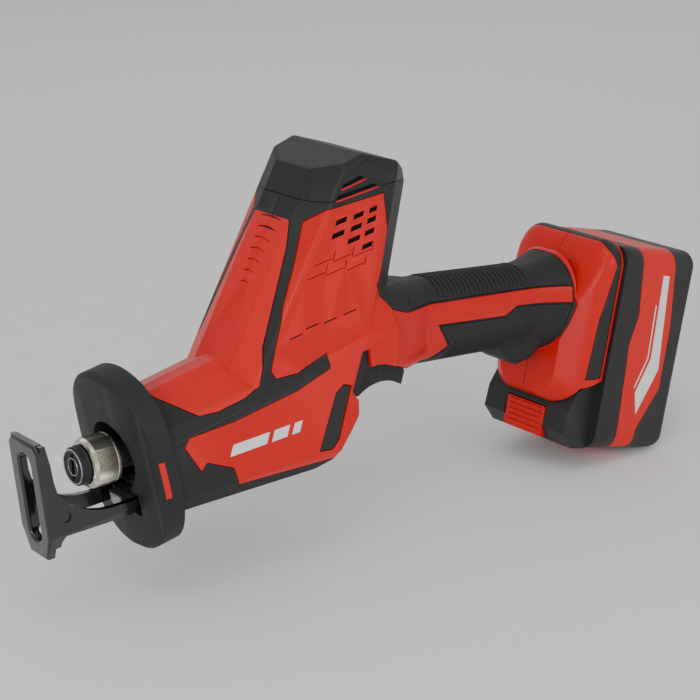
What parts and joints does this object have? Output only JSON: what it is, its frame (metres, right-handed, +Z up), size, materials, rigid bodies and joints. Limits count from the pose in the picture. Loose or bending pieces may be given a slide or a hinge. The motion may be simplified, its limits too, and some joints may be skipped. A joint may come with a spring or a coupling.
{
  "type": "reciprocating saw",
  "caption": "Cordless reciprocating saw in red and black, with a pivoting shoe, a blade clamp, a leaning motor tower and a slide-on battery pack.",
  "frame": {"origin": "mouth of the blade socket, on the blade's axis", "axes": "-X along the blade, away from the tool; +X towards the battery; +Z up; the saw is symmetric about Y = 0"},
  "size_m": [0.403, 0.0754, 0.2003],
  "materials": {
    "red_shell": "satin moulded",
    "black_overmould": "matt",
    "dark_shell": "fine texture",
    "inner_shell": "moulded",
    "gloss_black": "glossy",
    "cast_black": "glossy black coating",
    "nickel": "satin nickel",
    "steel": "machined",
    "die_cast": "as cast",
    "bronze": "sintered",
    "seal_rubber": "matt",
    "copper": "commutator copper",
    "magnet": "dark ferrite",
    "carbon": "pressed carbon",
    "board": "coated board",
    "clear_lens": "clear",
    "cell_wrap": "shrink wrap",
    "white_decal": "printed",
    "red_trigger": "satin moulded"
  },
  "bodies": {
    "housing": {"front_panel": "red_shell", "tower_cap": "gloss_black", "top_grip": "black_overmould", "lower_grip": "black_overmould", "base_trim": "dark_shell", "side_panel_left": "red_shell", "side_panel_right": "red_shell", "base_panel_left": "red_shell", "base_panel_right": "red_shell", "overmould_left": "black_overmould", "overmould_right": "black_overmould", "housing_left": "inner_shell", "housing_right": "inner_shell", "housing_screws": "steel", "front_guard": "black_overmould", "guard_inlays": "red_shell", "led_holder": "dark_shell", "led_lens": "clear_lens", "shoe_pivot_pin": "steel", "shoe_bracket": "steel", "gearcase": "die_cast", "gearcase_cover": "die_cast", "plunger_bushings": "bronze", "plunger_seal": "seal_rubber", "gear_axle": "steel", "motor_bearings": "steel", "motor_can": "steel", "motor_magnets": "magnet", "motor_end_cap": "dark_shell", "carbon_brushes": "carbon", "trigger_pin": "steel", "switch_body": "dark_shell", "control_board": "board", "rail_plate": "red_shell", "tool_terminals": "dark_shell"},
    "plunger": {"plunger_rod": "steel", "scotch_yoke": "steel", "blade_clamp": "gloss_black", "clamp_ring": "black_overmould", "collar_spring": "steel"},
    "collar": {"release_collar": "nickel"},
    "crank": {"crank_gear": "steel"},
    "rotor": {"motor_shaft": "steel", "motor_pinion": "steel", "rotor_core": "steel", "commutator": "copper", "cooling_fan": "dark_shell"},
    "shoe": {"shoe": "cast_black"},
    "trigger": {"trigger": "red_trigger"},
    "lock": {"lock_off_bar": "dark_shell"},
    "battery": {"pack_front_shell": "dark_shell", "pack_band": "red_shell", "pack_rear_shell": "dark_shell", "battery_cells": "cell_wrap", "pack_board": "board", "pack_decals": "white_decal"},
    "latch": {"pack_latch": "red_trigger"}
  },
  "joints": [
    {"name": "plunger_slide", "type": "slide", "parent": "housing", "child": "plunger", "axis": [1, 0, 0], "range_m": [-0.01, 0.01]},
    {"name": "collar_twist", "type": "hinge", "parent": "plunger", "child": "collar", "pos_m": [0.014, 0, 0], "axis": [1, 0, 0], "range_deg": [0, 45], "stiffness_Nm_per_rad": 0.05, "springref_deg": -17.19},
    {"name": "crank_spin", "type": "hinge", "parent": "housing", "child": "crank", "pos_m": [0.116, 0, 0.016], "axis": [0, 0, 1], "continuous": true},
    {"name": "rotor_spin", "type": "hinge", "parent": "housing", "child": "rotor", "pos_m": [0.143, 0, 0.05], "axis": [0, 0, 1], "continuous": true},
    {"name": "shoe_pivot", "type": "hinge", "parent": "housing", "child": "shoe", "pos_m": [0.0365, 0, -0.0218], "axis": [0, 1, 0], "range_deg": [-8, 8]},
    {"name": "trigger_pull", "type": "hinge", "parent": "housing", "child": "trigger", "pos_m": [0.1605, 0, 0.0155], "axis": [0, -1, 0], "range_deg": [0, 12], "stiffness_Nm_per_rad": 0.4, "springref_deg": -14.32},
    {"name": "lock_push", "type": "slide", "parent": "housing", "child": "lock", "axis": [0, 1, 0], "range_m": [-0.0012, 0.0012]},
    {"name": "battery_slide", "type": "slide", "parent": "housing", "child": "battery", "axis": [-0.2419, 0, -0.9703], "range_m": [0, 0.09]},
    {"name": "latch_press", "type": "slide", "parent": "battery", "child": "latch", "axis": [0.9703, 0, -0.2419], "range_m": [0, 0.0024], "stiffness_N_per_m": 800, "springref_m": -0.002}
  ],
  "couplings": [
    {"joint": "rotor_spin", "follows": "crank_spin", "ratio": -5.6667}
  ]
}
